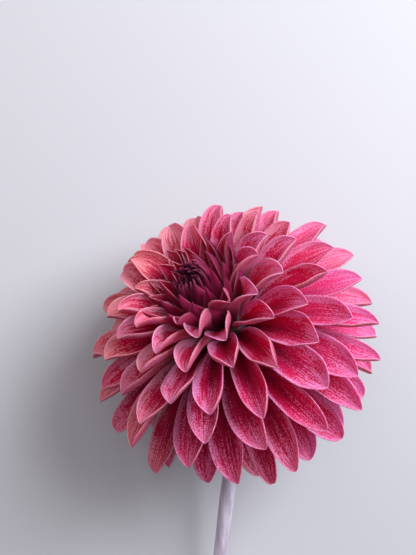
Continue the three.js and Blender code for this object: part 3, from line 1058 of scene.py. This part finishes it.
class DAHLIA_OT_petals(bpy.types.Operator):
    """Models the open petals, whorl by whorl from the centre outwards"""

    bl_idname = "dahlia.petals"
    bl_label = "Open petals"

    def execute(self, context):
        bloom, colours = chosen(context)
        blank = petal_blank("petal_blank", *PETAL_BLANK)
        materials = [petal_face(colours), petal_back(colours)]
        for whorl in range(WHORLS):
            name = f"petal_whorl_{whorl + 1}"
            first = bloom.petals * whorl // WHORLS
            last = bloom.petals * (whorl + 1) // WHORLS
            rules = [open_petal(k, bloom) for k in range(first, last)]
            piece = petal_group(blank, name, rules, bloom, bloom.blade, materials)
            finished(piece, "open_petals")
        removed(blank)
        return {"FINISHED"}


class DAHLIA_OT_florets(bpy.types.Operator):
    """Models the young florets folded over the centre"""

    bl_idname = "dahlia.florets"
    bl_label = "Folded florets"

    def execute(self, context):
        bloom, colours = chosen(context)
        blank = petal_blank("floret_blank", *FLORET_BLANK)
        rules = [folded_floret(k, bloom) for k in range(bloom.florets)]
        materials = [floret_skin(colours)]
        piece = petal_group(blank, "folded_centre", rules, bloom, bloom.blade, materials)
        finished(piece, "folded_florets")
        removed(blank)
        return {"FINISHED"}


class DAHLIA_OT_calyx(bpy.types.Operator):
    """Models the green cup under the petals and its two whorls of bracts"""

    bl_idname = "dahlia.calyx"
    bl_label = "Calyx"

    def execute(self, context):
        bloom, colours = chosen(context)
        cup = turned_body("calyx_cup", CUP_PROFILE, CUP_SIDES, bloom)
        flush = [part * CALYX_FLUSH for part in colours.calyx]
        skin = fleshy_skin("calyx", colours.calyx, flush)
        coated(cup, [skin])
        finished(cup, "calyx")
        blank = petal_blank("bract_blank", *BRACT_BLANK)
        whorls = (INNER_BRACTS, OUTER_BRACTS)
        rules = [bract(k, whorl) for whorl in whorls for k in range(whorl["count"])]
        bracts = petal_group(blank, "calyx_bracts", rules, bloom, BRACT_BLADE * MM, [skin])
        finished(bracts, "calyx")
        removed(blank)
        return {"FINISHED"}


def stem_route(bloom):
    """The stem's middle line: a bend out of the calyx, then straight to the cut end."""
    matrix = bloom_matrix(bloom)
    bottom = CALYX_BOTTOM - CLEARANCE
    top = matrix @ Vector((0, 0, bottom * MM)) / MM
    pulled = matrix @ Vector((0, 0, (bottom - NECK_PULL) * MM)) / MM
    before = NECK_END - (STEM_END - NECK_END).normalized() * NECK_PULL
    route = []
    for i in range(STEM_STEPS + 1):
        t = i / STEM_STEPS
        bend = top * (1 - t) ** 3 + pulled * 3 * t * (1 - t) ** 2
        route.append(bend + before * 3 * t * t * (1 - t) + NECK_END * t**3)
    for i in range(STEM_STEPS):
        route.append(NECK_END.lerp(STEM_END, (i + 1) / STEM_STEPS))
    return route


def stem_tube(route):
    """The skin, open at both ends, thicker at the neck and a little uneven further on."""
    bpy.ops.object.select_all(action="DESELECT")
    bpy.ops.curve.primitive_bezier_curve_add(location=(0, 0, 0))
    line = added("stem_skin")
    line.data.splines.clear()
    spline = line.data.splines.new("POLY")
    spline.points.add(len(route) - 1)
    walked = 0.0
    for i, place in enumerate(route):
        walked += (place - route[max(i - 1, 0)]).length
        radius = mix(STEM_NECK_RADIUS, STEM_RADIUS, ease(walked, 0, NECK_LENGTH))
        radius += STEM_SWELL * math.sin(walked / STEM_SWELL_LENGTH)
        spline.points[i].co = (*(place * MM), 1)
        spline.points[i].radius = float(radius)
    line.data.bevel_depth = MM
    line.data.bevel_resolution = STEM_ROUNDNESS
    line.data.use_fill_caps = False
    only(line)
    bpy.ops.object.convert(target="MESH")
    return added("stem_skin")


def close_end(piece, end):
    """Fills the tube's open edge at this end. It is called in edit mode."""
    bpy.ops.mesh.select_mode(type="EDGE")
    bpy.ops.mesh.select_non_manifold()
    bpy.ops.object.mode_set(mode="OBJECT")
    for vertex in piece.data.vertices:
        near = (vertex.co - end * MM).length < END_REACH * MM
        vertex.select = vertex.select and near
    for edge in piece.data.edges:
        edge.select = all(piece.data.vertices[i].select for i in edge.vertices)
    if not any(edge.select for edge in piece.data.edges):
        raise RuntimeError("The stem has no open edge where its end should be")
    bpy.ops.object.mode_set(mode="EDIT")
    bpy.ops.mesh.edge_face_add()


def cut_face(piece):
    """Makes the selected face a cut: a ring of skin, pith, and a hollow in the middle."""
    bpy.ops.mesh.inset(thickness=CUT_SKIN * MM, depth=0)
    piece.active_material_index = 1
    bpy.ops.object.material_slot_assign()
    for width, depth in CUT_PITH:
        bpy.ops.mesh.inset(thickness=width * MM, depth=depth * MM)


class DAHLIA_OT_stem(bpy.types.Operator):
    """Models the stem along its route, from the calyx to its cut end"""

    bl_idname = "dahlia.stem"
    bl_label = "Stem"

    def execute(self, context):
        bloom, colours = chosen(context)
        route = stem_route(bloom)
        piece = stem_tube(route)
        skin = fleshy_skin("stem", colours.stem, colours.stem_shade, STEM_GRAIN)
        coated(piece, [skin, fleshy_skin("stem_pith", PITH_TONE, PITH_FLUSH_TONE)])
        with editing(piece):
            close_end(piece, STEM_END)
            cut_face(piece)
        with editing(piece):
            close_end(piece, route[0])
        with editing(piece):
            bpy.ops.mesh.select_all(action="SELECT")
            bpy.ops.mesh.remove_doubles(threshold=DOUBLES)
            bpy.ops.mesh.normals_make_consistent(inside=False)
        points = points_of(piece.data)
        points[:, 2] = np.maximum(points[:, 2], SURFACE + OVER_SURFACE * MM)
        piece.data.vertices.foreach_set("co", points.ravel())
        finished(piece, "stem")
        bpy.ops.object.shade_smooth_by_angle(angle=CUT_EDGE)
        return {"FINISHED"}


class DAHLIA_PT_panel(bpy.types.Panel):
    """The dahlia's sizes, colours and steps"""

    bl_idname = "DAHLIA_PT_panel"
    bl_label = "Dahlia"
    bl_space_type = "VIEW_3D"
    bl_region_type = "UI"
    bl_category = "Dahlia"

    def draw(self, context):
        for name, kind in GROUPS.items():
            box = self.layout.box()
            for prop in kind.__annotations__:
                box.prop(getattr(context.scene, name), prop)
        for step in STEPS:
            self.layout.operator(step.bl_idname)


STEPS = (
    DAHLIA_OT_stage,
    DAHLIA_OT_receptacle,
    DAHLIA_OT_petals,
    DAHLIA_OT_florets,
    DAHLIA_OT_calyx,
    DAHLIA_OT_stem,
)
GROUPS = {
    "dahlia_bloom": DahliaBloom,
    "dahlia_colours": DahliaColours,
    "dahlia_studio": DahliaStudio,
}


def register():
    for kind in (*GROUPS.values(), *STEPS, DAHLIA_PT_panel):
        bpy.utils.register_class(kind)
    for name, kind in GROUPS.items():
        setattr(bpy.types.Scene, name, PointerProperty(type=kind))


def unregister():
    for name in GROUPS:
        delattr(bpy.types.Scene, name)
    for kind in reversed((*GROUPS.values(), *STEPS, DAHLIA_PT_panel)):
        bpy.utils.unregister_class(kind)


def main():
    register()
    bpy.ops.dahlia.stage()
    bpy.ops.dahlia.receptacle()
    bpy.ops.dahlia.petals()
    bpy.ops.dahlia.florets()
    bpy.ops.dahlia.calyx()
    bpy.ops.dahlia.stem()


if __name__ == "__main__":
    main()
